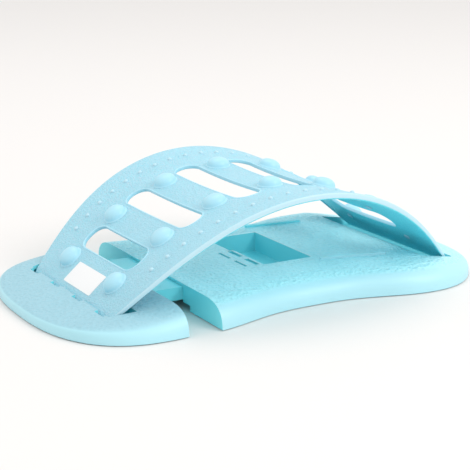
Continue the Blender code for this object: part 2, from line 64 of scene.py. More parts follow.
# Cutters reach FAR or CLEAR past what they cut, or BELOW the floor, and run OVERRUN into each other
FAR = 0.5
CLEAR = 0.02
BELOW = -0.01
OVERRUN = 0.001
HOLLOW_FLOOR = -0.004

# Vertices nearer than MERGE become one, and loose pieces stand FIT_GAP apart
MERGE = 0.00001
FIT_GAP = 0.0003

# Distance of the rubber feet from the middle line
PAD_ROW = 0.0865

# The board's line is worked out by short steps to both sides
LINE_STEP = 0.001
LINE_STEPS = 220


# Sizes and colours that a user can change

def number_value(name, description, default, unit="NONE"):
    return FloatProperty(name=name, description=description, default=default, unit=unit)


def length_value(name, description, default):
    return number_value(name, description, default, "LENGTH")


def angle_value(name, description, default):
    return number_value(name, description, default, "ROTATION")


def colour_value(name, description, *default):
    return FloatVectorProperty(name=name, description=description, default=default, subtype="COLOR", size=3,
                               min=0.0, max=1.0)


class BaseSize(PropertyGroup):
    """Sizes of the two base shells."""

    open_length: length_value("Open length", "Length of the base pulled out", 0.390)
    travel: length_value("Travel", "How far the small shell slides", 0.0277)
    waist_half: length_value("Waist", "Half width at the waist", 0.0965)
    shoulder_half: length_value("Shoulder", "Half width at the widest place", 0.1150)
    shoulder_x: length_value("Shoulder place", "Distance of the widest place from the middle", 0.1030)
    main_power: number_value("Main end", "Squareness of the main shell's end", 2.2)
    slide_power: number_value("Small end", "Squareness of the small shell's end", 2.6)
    deck_z: length_value("Deck", "Height of the deck", 0.0205)
    tip_z: length_value("Tip", "Height of the shell's top at its tip", 0.0080)
    main_slope: length_value("Main slope", "Where the main deck starts to fall", 0.112)
    slide_slope: length_value("Small slope", "Where the small deck starts to fall", 0.092)
    flank_reach: length_value("Flank reach", "How far in the long flanks' curve runs", 0.030)
    tip_reach: length_value("Tip reach", "How far in the tips' curve runs", 0.0070)
    section_power: number_value("Flank squareness", "Squareness of the flank's curve", 2.6)
    tip_power: number_value("Tip squareness", "Squareness of the tips' curve", 5.0)
    wall: length_value("Wall", "Wall thickness", 0.0026)
    floor_gap: length_value("Floor gap", "Height of the shells' rim over the floor", 0.0008)
    split: length_value("Split", "The main shell's face from its middle", 0.0914)
    arris: length_value("Arris", "Rounding of the moulded edges", 0.0009)


class ArchSize(PropertyGroup):
    """Sizes of the sprung board."""

    wave: length_value("Wave", "Length of the slope's half wave", 0.3765)
    swing: angle_value("Swing", "Largest slope", 0.741)
    tilt: angle_value("Tilt", "Slope added all along", -0.0384)
    shift: length_value("Shift", "Where the wave's slope is nil", 0.0152)
    start_x: length_value("Start X", "X of the reference point", -0.0009)
    start_z: length_value("Start Z", "Z of the reference point", 0.0867)
    left_end: length_value("Left end", "Left foot, along the board", -0.1772)
    right_end: length_value("Right end", "Right foot, along the board", 0.1822)
    thickness: length_value("Rim", "Depth of the board's long rims", 0.0051)
    sheet: length_value("Sheet", "Thickness of the board between its rims", 0.0027)
    rim_width: length_value("Rim width", "Width of the long rims", 0.0030)
    crest_half: length_value("Crest half", "Half width at the crest", 0.1105)
    foot_half: length_value("Foot half", "Half width at the feet", 0.0740)
    foot_corner: length_value("Left foot corner", "Corner radius of the left foot", 0.0095)
    right_corner: length_value("Right foot corner", "Corner radius of the right foot", 0.0040)
    dish: length_value("Dish", "Rise of the board's long edges", 0.0060)
    edge: length_value("Edge", "Rounding of the board's edges", 0.0016)
    window: length_value("Window", "Width of the middle windows", 0.0212)
    end_window: length_value("End window", "Width of the end windows", 0.0235)
    window_half: length_value("Window half", "Half length of the middle windows", 0.0605)
    window_taper: length_value("Window taper", "How much shorter the end windows are", 0.0270)
    window_corner: length_value("Window corner", "Corner radius of the windows", 0.0100)
    window_edge: length_value("Window edge", "Rounding of the windows' upper edges", 0.0007)
    bead_width: length_value("Bead width", "Width of the raised bead round each window", 0.0015)
    bead_height: length_value("Bead height", "Height of the bead round each window", 0.0004)
    dome_pairs: IntProperty(name="Dome pairs", description="Pairs of domes along the board", default=7)
    dome_pitch: length_value("Dome pitch", "Spacing of the dome pairs", 0.0507)
    dome_middle: length_value("Middle pair", "Middle pair, along the board", 0.0058)
    dome_row: length_value("Dome row", "Distance of each row from the middle line", 0.0435)
    dome_radius: length_value("Dome radius", "Radius of a dome", 0.0096)
    dome_height: length_value("Dome height", "Height of a dome", 0.0072)
    bend_reach: length_value("Bend reach", "Length over which the board bends", 0.070)


class FinishLook(PropertyGroup):
    """Colours and roughness of the plastics."""

    base_colour: colour_value("Base", "Colour of the base", 0.44, 0.78, 0.87)
    # Painted light: the main shell's upward faces get this lighter colour, which stands for light and
    # reflection on the grained deck
    lit_deck_colour: colour_value("Deck", "Colour of the grained deck", 0.47, 0.90, 0.98)
    # Painted shade: the small shell's upward faces get this darker colour, though they are the same plastic
    # as the main shell
    shaded_small_deck_colour: colour_value("Small deck", "Colour of the small shell's deck", 0.32, 0.59, 0.69)
    # Painted shade: the cut-out walls, the far ridge and shaded arrises take this saturated teal, a shaded
    # copy of the shell's plastic
    inner_shade_colour: colour_value("Inside", "Colour of the cut-out walls", 0.24, 0.82, 0.90)
    board_colour: colour_value("Board", "Colour of the board", 0.37, 0.68, 0.80)
    # Painted shade: the board's downward faces get this deep teal, shade tinted as by light through the thin
    # sheet
    underside_shade_colour: colour_value("Underside", "Colour of the board's underside", 0.18, 0.80, 0.92)
    # Also put on the window beads and walls as a painted highlight
    dome_colour: colour_value("Domes", "Colour of the domes", 0.42, 0.75, 0.88)
    label_colour: colour_value("Label", "Colour of the blank label", 0.93, 0.93, 0.93)
    pad_colour: colour_value("Feet", "Colour of the rubber feet", 0.55, 0.62, 0.64)


class StageView(PropertyGroup):
    """Camera place, light levels and floor."""

    azimuth: angle_value("Azimuth", "Camera azimuth", math.radians(-28.8213))
    elevation: angle_value("Elevation", "Camera elevation", math.radians(14.8066))
    roll: angle_value("Roll", "Camera roll", math.radians(-0.6913))
    distance: length_value("Distance", "Camera distance", 1.1625)
    lens: number_value("Lens", "Focal length in millimetres on a 36 mm sensor", 107.3)
    target: FloatVectorProperty(name="Target", description="Point that the camera looks at", size=3,
                                subtype="XYZ", default=(-0.00155, 0.0035, 0.0369))
    key_power: number_value("Key light", "Power of the key light", 17.5, "POWER")
    top_power: number_value("Top light", "Power of the top light", 6.0, "POWER")
    world_strength: number_value("World", "Strength of the light from all round", 0.97)
    world_colour: colour_value("World colour", "Colour of the light from all round", 1.0, 0.995, 0.99)
    floor_colour: colour_value("Floor", "Colour of the floor", 0.83, 0.81, 0.795)


# Finishes

def place_node(tree, kind, **values):
    """A new node, with values for its inputs and settings."""
    node = tree.nodes.new(kind)
    for key, value in values.items():
        if key in node.inputs:
            node.inputs[key].default_value = value
        else:
            setattr(node, key, value)
    return node


def new_material(name, **values):
    """A material with one shader, given with its node tree, its shader and the object's coordinates."""
    made = bpy.data.materials.new(name)
    made.use_nodes = True
    tree = made.node_tree
    tree.nodes.clear()
    shader = place_node(tree, "ShaderNodeBsdfPrincipled", **values)
    output = place_node(tree, "ShaderNodeOutputMaterial")
    tree.links.new(shader.outputs["BSDF"], output.inputs["Surface"])
    return made, tree, shader, place_node(tree, "ShaderNodeTexCoord").outputs["Object"]


def mix_colours(tree, blend, factor, low, high):
    """Mixes two colours, each given as a colour or as the socket that brings it."""
    node = place_node(tree, "ShaderNodeMix", data_type="RGBA", blend_type=blend)
    for place, value in ((0, factor), (6, low), (7, high)):
        if isinstance(value, bpy.types.NodeSocket):
            tree.links.new(value, node.inputs[place])
        else:
            node.inputs[place].default_value = value if place == 0 else (*value, 1.0)
    return node.outputs[2]


def noise(tree, places, scale, detail, output="Fac"):
    node = place_node(tree, "ShaderNodeTexNoise", Scale=scale, Detail=detail)
    tree.links.new(places, node.inputs["Vector"])
    return node.outputs[output]


def ramp(tree, value, low, high, start=0.0, end=1.0):
    """Turns a value into a colour between two, from one place of the value's range to the other."""
    node = place_node(tree, "ShaderNodeValToRGB")
    for step, place, colour in zip(node.color_ramp.elements, (start, end), (low, high)):
        step.position = place
        step.color = (*colour, 1.0)
    tree.links.new(value, node.inputs["Fac"])
    return node.outputs["Color"]


def add_bump(tree, shader, height, strength, depth):
    bump = place_node(tree, "ShaderNodeBump", Strength=strength, Distance=depth)
    tree.links.new(height, bump.inputs["Height"])
    tree.links.new(bump.outputs["Normal"], shader.inputs["Normal"])


def painted_facing_mask(tree, low, high):
    """Comes in where the height of a face's normal goes from the first value to the second; it places painted
    light and shade by which way a face is turned.
    """
    surface = place_node(tree, "ShaderNodeNewGeometry")
    normal = place_node(tree, "ShaderNodeSeparateXYZ")
    tree.links.new(surface.outputs["Normal"], normal.inputs["Vector"])
    mask = place_node(tree, "ShaderNodeMapRange", interpolation_type="SMOOTHSTEP",
                      **{"From Min": low, "From Max": high})
    tree.links.new(normal.outputs["Z"], mask.inputs["Value"])
    return mask.outputs["Result"]


def leather(tree, places, size):
    """The heights of a leather-like grain, and its fine noise alone."""
    link = tree.links.new
    cells = place_node(tree, "ShaderNodeTexVoronoi", feature="SMOOTH_F1", Scale=1.0 / size, Smoothness=0.6)
    warp = noise(tree, places, 0.6 / size, 2.0, "Color")
    mixed = place_node(tree, "ShaderNodeMix", data_type="VECTOR", Factor=size * 0.8)
    link(places, mixed.inputs[4])
    link(warp, mixed.inputs[5])
    link(mixed.outputs[1], cells.inputs["Vector"])
    fine = noise(tree, places, 2.6 / size, 2.0)
    height = place_node(tree, "ShaderNodeMath", operation="MULTIPLY_ADD")
    height.inputs[1].default_value = 0.35
    link(fine, height.inputs[0])
    link(cells.outputs["Distance"], height.inputs[2])
    return height.outputs["Value"], fine


def plastic(name, colour, roughness, grain_size, grain_depth, mottle=0.03, pit_shade=0.0, subsurface=0.0,
            turned=None):
    """Moulded plastic with faint colour drift, leather-like grain whose pits carry painted shade, and uneven
    gloss.

    turned gives a second colour, painted light and shade, for faces that are turned up or down, with the two
    heights of the normal between which it comes in. Where the second colour lies upwards, the grain lies
    there too.
    """
    under_skin = {"Subsurface Weight": subsurface, "Subsurface Radius": (0.3, 1.0, 1.0),
                  "Subsurface Scale": 0.004}
    made, tree, shader, places = new_material(name, IOR=1.46, **under_skin)
    link = tree.links.new
    ground = colour
    if turned:
        other, low, high = turned
        mask = painted_facing_mask(tree, low, high)
        ground = mix_colours(tree, "MIX", mask, colour, other)
    tone = ramp(tree, noise(tree, places, 22.0, 3.0), [1 - mottle] * 3, (1, 1, 1), 0.3, 0.7)
    drifted = mix_colours(tree, "MULTIPLY", 1.0, ground, tone)
    grain, fine = leather(tree, places, grain_size)
    # The grain's low places are painted darker and more teal: painted shade in the pits
    painted_pit_shade = ramp(tree, grain, (1 - pit_shade, 1 - pit_shade * 0.6, 1 - pit_shade * 0.6), (1, 1, 1), 0.25, 0.75)
    share = 1.0
    if turned and high > low:
        share = mask
        masked = place_node(tree, "ShaderNodeMath", operation="MULTIPLY")
        link(grain, masked.inputs[0])
        link(mask, masked.inputs[1])
        grain = masked.outputs["Value"]
    link(mix_colours(tree, "MULTIPLY", share, drifted, painted_pit_shade), shader.inputs["Base Color"])
    add_bump(tree, shader, grain, 1.0, grain_depth)
    gloss = place_node(tree, "ShaderNodeMapRange", **{"To Min": roughness - 0.05, "To Max": roughness + 0.05})
    link(fine, gloss.inputs["Value"])
    link(gloss.outputs["Result"], shader.inputs["Roughness"])
    made.diffuse_color = (*colour, 1.0)
    return made


def smooth_plastic(name, colour, roughness):
    return plastic(name, colour, roughness, 0.0009, 0.00002)


def paper(name, colour):
    """A blank paper label with faint fibres."""
    made, tree, shader, places = new_material(name, Roughness=0.6)
    fibre = noise(tree, places, 900.0, 4.0)
    tree.links.new(ramp(tree, fibre, [c * 0.96 for c in colour], colour), shader.inputs["Base Color"])
    add_bump(tree, shader, fibre, 0.4, 0.00005)
    return made


def steel(name):
    """Zinc-plated steel with a faint turned grain."""
    made, tree, shader, places = new_material(name, Metallic=1.0, Roughness=0.32)
    grain = noise(tree, places, 1500.0, 2.0)
    tree.links.new(ramp(tree, grain, (0.48, 0.49, 0.50), (0.66, 0.67, 0.68)), shader.inputs["Base Color"])
    return made


MATERIALS = {}


def highlight_tint(colour, share):
    """The same colour nearer to white by the given share: a painted highlight for edges and rims."""
    return [c + (1 - c) * share for c in colour]


def finish(context, key):
    """Each finish is made once, when the first piece asks for it."""
    look = context.scene.stretcher_finish
    makers = {
        # The main shell's upward faces are painted in the lighter deck colour: painted light
        "shell": lambda: plastic("shell_plastic", look.base_colour, 0.40, 0.0030, 0.0014, pit_shade=0.09,
                                 turned=(look.lit_deck_colour, 0.84, 0.98)),
        # The small shell's upward faces are painted darker: painted shade
        "small shell": lambda: plastic("small_shell_plastic", look.base_colour, 0.42, 0.0032, 0.0007,
                                       pit_shade=0.07, turned=(look.shaded_small_deck_colour, 0.70, 0.98)),
        # Rounded shell edges are painted nearer to white: a painted highlight along the arris
        "arris": lambda: smooth_plastic("arris_highlight", highlight_tint(look.lit_deck_colour, 0.4), 0.34),
        # Cut-out walls are painted in the saturated inner colour: painted shade
        "inner": lambda: smooth_plastic("inner_shade_smooth", look.inner_shade_colour, 0.40),
        # The board's downward faces are painted in the underside colour: painted shade
        "board": lambda: plastic("board_matte", look.board_colour, 0.48, 0.0016, 0.0004, 0.04, pit_shade=0.13,
                                 subsurface=0.25, turned=(look.underside_shade_colour, -0.25, -0.60)),
        # The board's side band, rounded edges and nubs are painted nearer to white: a painted highlight
        "rim": lambda: smooth_plastic("board_rim_highlight", highlight_tint(look.board_colour, 0.22), 0.36),
        # Window beads and walls are painted in the lighter dome colour: a painted highlight
        "bead": lambda: smooth_plastic("window_bead_highlight", look.dome_colour, 0.38),
        "dome": lambda: plastic("dome_satin", look.dome_colour, 0.36, 0.0008, 0.00002),
        "label": lambda: paper("label_paper", look.label_colour),
        "pad": lambda: plastic("pad_rubber", look.pad_colour, 0.8, 0.0006, 0.00006, 0.06),
        "screw": lambda: steel("screw_steel"),
    }
    if key not in MATERIALS:
        MATERIALS[key] = makers[key]()
    return MATERIALS[key]


# Mesh helpers

def to_object(name, bm, *looks):
    mesh = bpy.data.meshes.new(name)
    bm.to_mesh(mesh)
    bm.free()
    for look in looks:
        mesh.materials.append(look)
    made = bpy.data.objects.new(name, mesh)
    bpy.context.scene.collection.objects.link(made)
    return made


def settle(piece):
    """The piece's modifiers become its mesh."""
    graph = bpy.context.evaluated_depsgraph_get()
    result = bpy.data.meshes.new_from_object(piece.evaluated_get(graph))
    piece.modifiers.clear()
    old = piece.data
    piece.data = result
    bpy.data.meshes.remove(old)


def cut(piece, tool, operation="DIFFERENCE"):
    """The tool is applied to the piece and then removed."""
    modifier = piece.modifiers.new("cut", "BOOLEAN")
    modifier.operation = operation
    modifier.solver = "EXACT"
    modifier.material_mode = "TRANSFER" if tool.data.materials else "INDEX"
    modifier.object = tool
    settle(piece)
    bpy.data.objects.remove(tool)


def round_edges(piece, width, look, segments=3, angle=35.0):
    """Every edge sharper than the angle is rounded and takes the given look, a lighter colour that is a
    painted highlight.
    """
    piece.data.materials.append(look)
    modifier = piece.modifiers.new("round", "BEVEL")
    modifier.width = width
    modifier.segments = segments
    modifier.limit_method = "ANGLE"
    modifier.angle_limit = math.radians(angle)
    modifier.use_clamp_overlap = True
    modifier.loop_slide = True
    modifier.harden_normals = False
    modifier.miter_outer = "MITER_ARC"
    modifier.material = len(piece.data.materials) - 1
    settle(piece)


def open_mesh(piece):
    bm = bmesh.new()
    bm.from_mesh(piece.data)
    return bm


def close_mesh(piece, bm):
    bm.to_mesh(piece.data)
    bm.free()


def round_highlit_rims(piece, height, beyond, width, look):
    """The rims at that height and beyond that X are rounded and take the given look, a lighter colour that is
    a painted highlight.
    """
    piece.data.materials.append(look)
    bm = open_mesh(piece)
    rims = [e for e in bm.edges if e.is_convex and e.calc_face_angle(0.0) > 1.0
            and all(abs(v.co.z - height) < 1e-5 and v.co.x > beyond for v in e.verts)]
    bmesh.ops.bevel(bm, geom=rims, offset=width, segments=2, profile=0.5, affect="EDGES",
                    material=len(piece.data.materials) - 1)
    close_mesh(piece, bm)


def tidy(piece):
    """Doubles are merged and flat neighbours joined, so that edges round evenly."""
    bm = open_mesh(piece)
    bmesh.ops.remove_doubles(bm, verts=bm.verts, dist=MERGE)
    bmesh.ops.dissolve_limit(bm, angle_limit=math.radians(0.15), verts=bm.verts, edges=bm.edges,
                             delimit={"MATERIAL"})
    close_mesh(piece, bm)


def shade(piece, angle=40.0):
    piece.data.shade_smooth()
    piece.data.set_sharp_from_angle(angle=math.radians(angle))
    weigh = piece.modifiers.new("normals", "WEIGHTED_NORMAL")
    weigh.keep_sharp = True


def split_at(bm, place, square):
    """Puts new edges where a plane meets the mesh."""
    bmesh.ops.bisect_plane(bm, geom=bm.verts[:] + bm.edges[:] + bm.faces[:], dist=1e-6,
                           plane_co=place, plane_no=square)


def draw_up(bm, edges):
    """Extrudes a loop of edges, and gives the loop's new vertices and all the new edges."""
    drawn = bmesh.ops.extrude_edge_only(bm, edges=edges)["geom"]
    verts = [g for g in drawn if isinstance(g, bmesh.types.BMVert)]
    return verts, [g for g in drawn if isinstance(g, bmesh.types.BMEdge)]


def upright_edges(bm):
    return [e for e in bm.edges if abs(e.verts[0].co.z - e.verts[1].co.z) > 1e-6]


def round_corners(bm, edges, radius, segments):
    bmesh.ops.bevel(bm, geom=edges, offset=radius, segments=segments, profile=0.5, affect="EDGES",
                    material=-1)


def block_mesh(low, high, corner=0.0, segments=6):
    """An upright block, its upright edges rounded where a corner radius is given."""
    bm = bmesh.new()
    size = [b - a for a, b in zip(low, high)]
    middle = [(a + b) / 2 for a, b in zip(low, high)]
    bmesh.ops.create_cube(bm, size=1.0, matrix=Matrix.Translation(middle) @ Matrix.Diagonal((*size, 1.0)))
    if corner:
        round_corners(bm, upright_edges(bm), corner, segments)
    return bm


def cutter(bm, look):
    return to_object("cutter", bm, *([look] if look else []))


def block(low, high, look=None, corner=0.0):
    return cutter(block_mesh(low, high, corner), look)


def carve(piece, low, high, look=None, corner=0.0):
    """Takes an upright block out of the piece. The new walls take the look, where one is given."""
    cut(piece, block(low, high, look, corner))


def prism(corners, low, high, look=None):
    """An upright cutter on any corners."""
    bm = bmesh.new()
    made = bmesh.ops.create_circle(bm, cap_ends=True, segments=len(corners), radius=1.0)["verts"]
    for vert, corner in zip(made, corners):
        vert.co = (corner[0], corner[1], low)
    lifted = bmesh.ops.extrude_face_region(bm, geom=bm.faces[:])["geom"]
    for vert in [g for g in lifted if isinstance(g, bmesh.types.BMVert)]:
        vert.co.z = high
    bmesh.ops.recalc_face_normals(bm, faces=bm.faces)
    return cutter(bm, look)


# Base shells

def half_length(base):
    return (base.open_length - base.travel) / 2


def half_width(base, x, power):
    reach = abs(x)
    if reach < base.shoulder_x:
        swell = math.sin(math.pi * reach / (2 * base.shoulder_x)) ** 3
        return base.waist_half + (base.shoulder_half - base.waist_half) * swell
    share = min((reach - base.shoulder_x) / (half_length(base) - base.shoulder_x), 1.0)
    return base.shoulder_half * (1 - share ** power) ** (1 / power)


def slope_start(base, end):
    return base.main_slope if end > 0 else base.slide_slope


def lost_height(base, x, end):
    """How much lower than the flat deck the shell's top is at x from the shell's middle."""
    start = slope_start(base, end)
    return (base.deck_z - base.tip_z) * max(0.0, (x * end - start) / (half_length(base) - start))


def outline(base, power, steps):
    """Evenly spread points around the closed base's outline, with their outward normals."""
    fine = 30 * steps
    side = []
    for i in range(fine + 1):
        x = -half_length(base) * math.cos(math.pi * i / fine)
        side.append(Vector((x, half_width(base, x, power))))
    lengths = [0.0]
    for a, b in zip(side, side[1:]):
        lengths.append(lengths[-1] + (b - a).length)
    picked = []
    at = 0
    for k in range(steps + 1):
        while at < fine and lengths[at] < lengths[-1] * k / steps:
            at += 1
        picked.append(side[at].copy())
    picked[0].y = 0.0
    picked[-1].y = 0.0
    points = [Vector((p.x, -p.y)) for p in picked] + list(reversed(picked[1:-1]))
    count = len(points)
    normals = []
    for k in range(count):
        along = points[(k + 1) % count] - points[k - 1]
        normals.append(Vector((along.y, -along.x)).normalized())
    return points, normals


def shell_block(base, name, end, inset, floor, look, steps=96, rings=12):
    """The closed base as a solid block: a ring on the floor drawn up the flank, then a flat deck."""
    centre = end * base.travel / 2
    points, normals = outline(base, base.main_power if end > 0 else base.slide_power, steps)
    bm = bmesh.new()
    place = bm.verts.layers.int.new("place")
    start = bmesh.ops.create_circle(bm, cap_ends=False, segments=len(points), radius=1.0)
    for k, vert in enumerate(start["verts"]):
        vert[place] = k
        p = points[k] - normals[k] * inset
        vert.co = (p.x + centre, p.y, floor)
    edges = list(bm.edges)
    bmesh.ops.edgeloop_fill(bm, edges=edges, mat_nr=0)
    deck = base.deck_z - inset
    for ring in range(1, rings + 1):
        angle = math.pi / 2 * ring / rings
        verts, edges = draw_up(bm, edges)
        for vert in verts:
            n = normals[vert[place]]
            power = base.section_power * n.y ** 2 + base.tip_power * n.x ** 2
            inwards = 1 - math.cos(angle) ** (2 / power)
            upwards = math.sin(angle) ** (2 / power)
            reach = base.flank_reach * n.y ** 2 + base.tip_reach * n.x ** 2
            p = points[vert[place]] - n * (inset + (reach - inset) * inwards)
            vert.co = (p.x + centre, p.y, floor + (deck - floor) * upwards)
    bmesh.ops.edgeloop_fill(bm, edges=edges, mat_nr=0)
    split_at(bm, (centre + end * slope_start(base, end), 0, 0), (1, 0, 0))
    for vert in bm.verts:
        height = (vert.co.z - floor) / (deck - floor)
        vert.co.z -= lost_height(base, vert.co.x - centre, end) * height
    bmesh.ops.recalc_face_normals(bm, faces=bm.faces)
    return to_object(name, bm, look)


def ridge(base, start, end, look):
    """A low round-ended ridge on the deck."""
    start, end = Vector(start), Vector(end)
    along = end - start
    high = 0.0019
    wide = 0.0019
    half = along.length / 2 + wide
    made = block((-half, -wide, -high), (half, wide, high), look, wide * 0.95)
    middle = (start + end) / 2
    turn = Matrix.Rotation(math.atan2(along.y, along.x), 4, "Z")
    made.data.transform(Matrix.Translation((middle.x, middle.y, base.deck_z)) @ turn)
    return made


def keep_side(piece, x, keep_right, look=None):
    low = x - FAR if keep_right else x
    carve(piece, (low, -FAR, -FAR), (low + FAR, FAR, FAR), look)


def pad_posts(hollow, *places):
    """Leaves a round post in the hollow over each pair of rubber feet."""
    reach = 0.0085
    corner = 0.0084
    floor = 0.0019
    for x in places:
        for y in (-PAD_ROW, PAD_ROW):
            carve(hollow, (x - reach, y - reach, floor), (x + reach, y + reach, FAR), corner=corner)


def darken_arris(piece, look, x):
    """The arris at that X lies in shade, so its painted highlight gives way to the painted shade of the walls
    inside.
    """
    dark = piece.data.materials.find(look.name)
    highlight_index = len(piece.data.materials) - 1
    for side in piece.data.polygons:
        if side.material_index == highlight_index and abs(side.center.x - x) < 0.0020:
            side.material_index = dark


class STRETCHER_OT_main_shell(Operator):
    """Make the larger base shell, with its pocket, latch windows, ridges, tunnel and trough"""

    bl_idname = "stretcher.main_shell"
    bl_label = "Main shell"

    def execute(self, context):
        base = context.scene.stretcher_base
        arch = context.scene.stretcher_arch
        outer = finish(context, "shell")
        # Walls cut into the main shell take the inner look: painted shade
        inner = finish(context, "inner")
        face = base.travel / 2 - base.split
        wall = base.wall
        gap = base.floor_gap
        rail_in = 0.0495
        rail_out = rail_in + 0.0115
        rail_top = 0.0055
        tunnel_end = 0.0018
        tunnel_top = 0.0183
        tip_half = 0.0333
        tip_low = 0.0072
        pocket_left, pocket_right = 0.0036, 0.0488
        pocket_near, pocket_far = -0.0356, 0.0590
        pocket_floor = 0.0030
        step_left, step_near = pocket_left - 0.0033, 0.0155
        trough_left, trough_right, trough_half = 0.1298, 0.1620, 0.0785
        trough_corner = 0.0040
        sump_floor, sump_right = 0.0022, 0.1480
        rim_rounding = 0.0006
        latch_rows, latch_half = (-0.0225, 0.0050), 0.0100
        latch_slots = ((-0.0110, 0.0026), (-0.0008, 0.0046))
        far_ridge = ((0.0506, 0.0765), (0.0996, 0.0694))
        near_ridge = ((0.0513, -0.0472), (0.1035, -0.0602))

        shell = shell_block(base, "main_shell", 1, 0.0, gap, outer)
        keep_side(shell, face, True, inner)
        hollow = shell_block(base, "hollow", 1, wall, HOLLOW_FLOOR, inner, steps=64, rings=8)
        keep_side(hollow, face + wall, True)
        for low, high in (
            ((-FAR, -rail_out, rail_top), (pocket_left, rail_out, FAR)),
            ((pocket_left - wall, pocket_near - wall, gap), (pocket_right + wall, pocket_far + wall, FAR)),
            ((trough_left - wall, -trough_half - wall, gap), (trough_right + wall, trough_half + wall, FAR)),
            ((pocket_right, -wall / 2, gap), (trough_left, wall / 2, FAR)),
        ):
            carve(hollow, low, high)
        pad_posts(hollow, -0.06255, 0.1165)
        cut(shell, hollow)
        carve(shell, (pocket_left, pocket_near, pocket_floor), (pocket_right, pocket_far, FAR), inner)
        carve(shell, (step_left, step_near, tip_low), (pocket_left + OVERRUN, pocket_far, FAR), inner)
        # The far ridge takes the inner look: painted shade
        cut(shell, ridge(base, *far_ridge, inner), "UNION")
        cut(shell, ridge(base, *near_ridge, outer), "UNION")
        ledge = foot_middle(arch, arch.right_end)[1] - arch.thickness / 2 - FIT_GAP
        carve(shell, (trough_left, -trough_half, ledge), (trough_right, trough_half, FAR), inner,
              trough_corner)
        carve(shell, (trough_left, -trough_half + trough_corner, sump_floor),
              (sump_right, trough_half - trough_corner, ledge + OVERRUN), inner)
        carve(shell, (-FAR, -rail_in, BELOW), (tunnel_end, rail_in, tunnel_top), inner)
        carve(shell, (tunnel_end - OVERRUN, -tip_half, tip_low),
              (pocket_left + OVERRUN, tip_half, tunnel_top), inner)
        carve(shell, (-FAR, -rail_out - FIT_GAP, BELOW),
              (face + wall + OVERRUN, rail_out + FIT_GAP, rail_top), inner)
        for y in latch_rows:
            for x, width in latch_slots:
                carve(shell, (x - width / 2, y - latch_half, tunnel_top - OVERRUN),
                      (x + width / 2, y + latch_half, FAR), inner)
        tidy(shell)
        # Deck rims and edges take the painted highlight; the arris by the trough then takes painted shade
        round_highlit_rims(shell, base.deck_z, face + OVERRUN, rim_rounding, finish(context, "arris"))
        round_edges(shell, base.arris, finish(context, "arris"))
        darken_arris(shell, inner, trough_left)
        shade(shell)
        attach(shell, "main")
        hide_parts("main_base")
        return {"FINISHED"}


class STRETCHER_OT_slide_shell(Operator):
    """Make the smaller base shell, with its tongue and its lipped trough"""

    bl_idname = "stretcher.slide_shell"
    bl_label = "Small shell"

    def execute(self, context):
        base = context.scene.stretcher_base
        arch = context.scene.stretcher_arch
        outer = finish(context, "small shell")
        # Walls cut into the small shell take the inner look: painted shade
        inner = finish(context, "inner")
        face = base.travel / 2 - base.split - base.travel
        wall = base.wall
        foot_x, foot_z = foot_middle(arch, arch.left_end)
        play = 0.0014
        trough_left = foot_x - arch.thickness / 2 - play
        trough_right = -0.1330
        trough_floor = foot_z - arch.thickness / 2 - FIT_GAP
        half = 0.0848
        lip_half = 0.0773
        lip_depth = 0.0020
        lip_right = trough_left + 0.0046
        notch_count, notch_pitch, notch_half = 4, 0.0440, 0.0080
        tongue_half, tongue_low, tongue_top = 0.0492, 0.0075, 0.0180
        neck_end = -0.0265
        tip_end, tip_half = -0.0065, 0.0330
        catch_left, catch_low = -0.0213, 0.0126
        catch_near, catch_far = -0.0308, 0.0133

        shell = shell_block(base, "slide_shell", -1, 0.0, base.floor_gap, outer)
        keep_side(shell, face, False, inner)
        hollow = shell_block(base, "hollow", -1, wall, HOLLOW_FLOOR, inner, steps=64, rings=8)
        keep_side(hollow, face - wall, False)
        carve(hollow, (trough_left - wall, -half - wall, base.floor_gap),
              (trough_right + wall, half + wall, FAR))
        carve(hollow, (trough_right, -tongue_half, tongue_low), (face, tongue_half, FAR))
        pad_posts(hollow, -0.12025)
        cut(shell, hollow)
        roof = base.deck_z - lost_height(base, trough_left + base.travel / 2, -1) - lip_depth
        carve(shell, (trough_left, -half, trough_floor), (trough_right, half, roof), inner)
        opening = [(lip_right, -lip_half), (trough_right, -half), (trough_right, half), (lip_right, lip_half)]
        cut(shell, prism(opening, trough_floor, FAR, inner))
        for k in range(notch_count):
            y = (k - (notch_count - 1) / 2) * notch_pitch
            carve(shell, (trough_left + play, y - notch_half, trough_floor),
                  (lip_right + play, y + notch_half, FAR), inner)
        tongue = block((face - OVERRUN, -tongue_half, tongue_low), (neck_end, tongue_half, tongue_top), inner)
        tip = block((neck_end - OVERRUN, -tip_half, tongue_low), (tip_end, tip_half, tongue_top), inner)
        cut(tongue, tip, "UNION")
        carve(tongue, (catch_left, catch_near, catch_low), (0.0, catch_far, FAR), inner)
        cut(shell, tongue, "UNION")
        tidy(shell)
        round_edges(shell, base.arris, finish(context, "arris"))
        shade(shell)
        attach(shell, "slide")
        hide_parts("slide_base")
        return {"FINISHED"}


# Sprung board

LINES = {}


def arch_slope(arch, s):
    return arch.tilt - arch.swing * math.sin(math.pi * (s - arch.shift) / arch.wave)


def arch_line(arch):
    """Places along the board's middle line, by steps counted from its reference point."""
    key = (arch.wave, arch.swing, arch.tilt, arch.shift, arch.start_x, arch.start_z)
    if key in LINES:
        return LINES[key]
    step = LINE_STEP
    line = {0: (arch.start_x, arch.start_z)}
    for sign in (-1, 1):
        x, z = arch.start_x, arch.start_z
        for k in range(LINE_STEPS):
            slope = arch_slope(arch, sign * (k + 0.5) * step)
            x += sign * math.cos(slope) * step
            z += sign * math.sin(slope) * step
            line[sign * (k + 1)] = (x, z)
    LINES[key] = line
    return line


def arch_point(arch, s):
    line = arch_line(arch)
    k = math.floor(s / LINE_STEP)
    share = s / LINE_STEP - k
    a, b = line[k], line[k + 1]
    return a[0] + (b[0] - a[0]) * share, a[1] + (b[1] - a[1]) * share


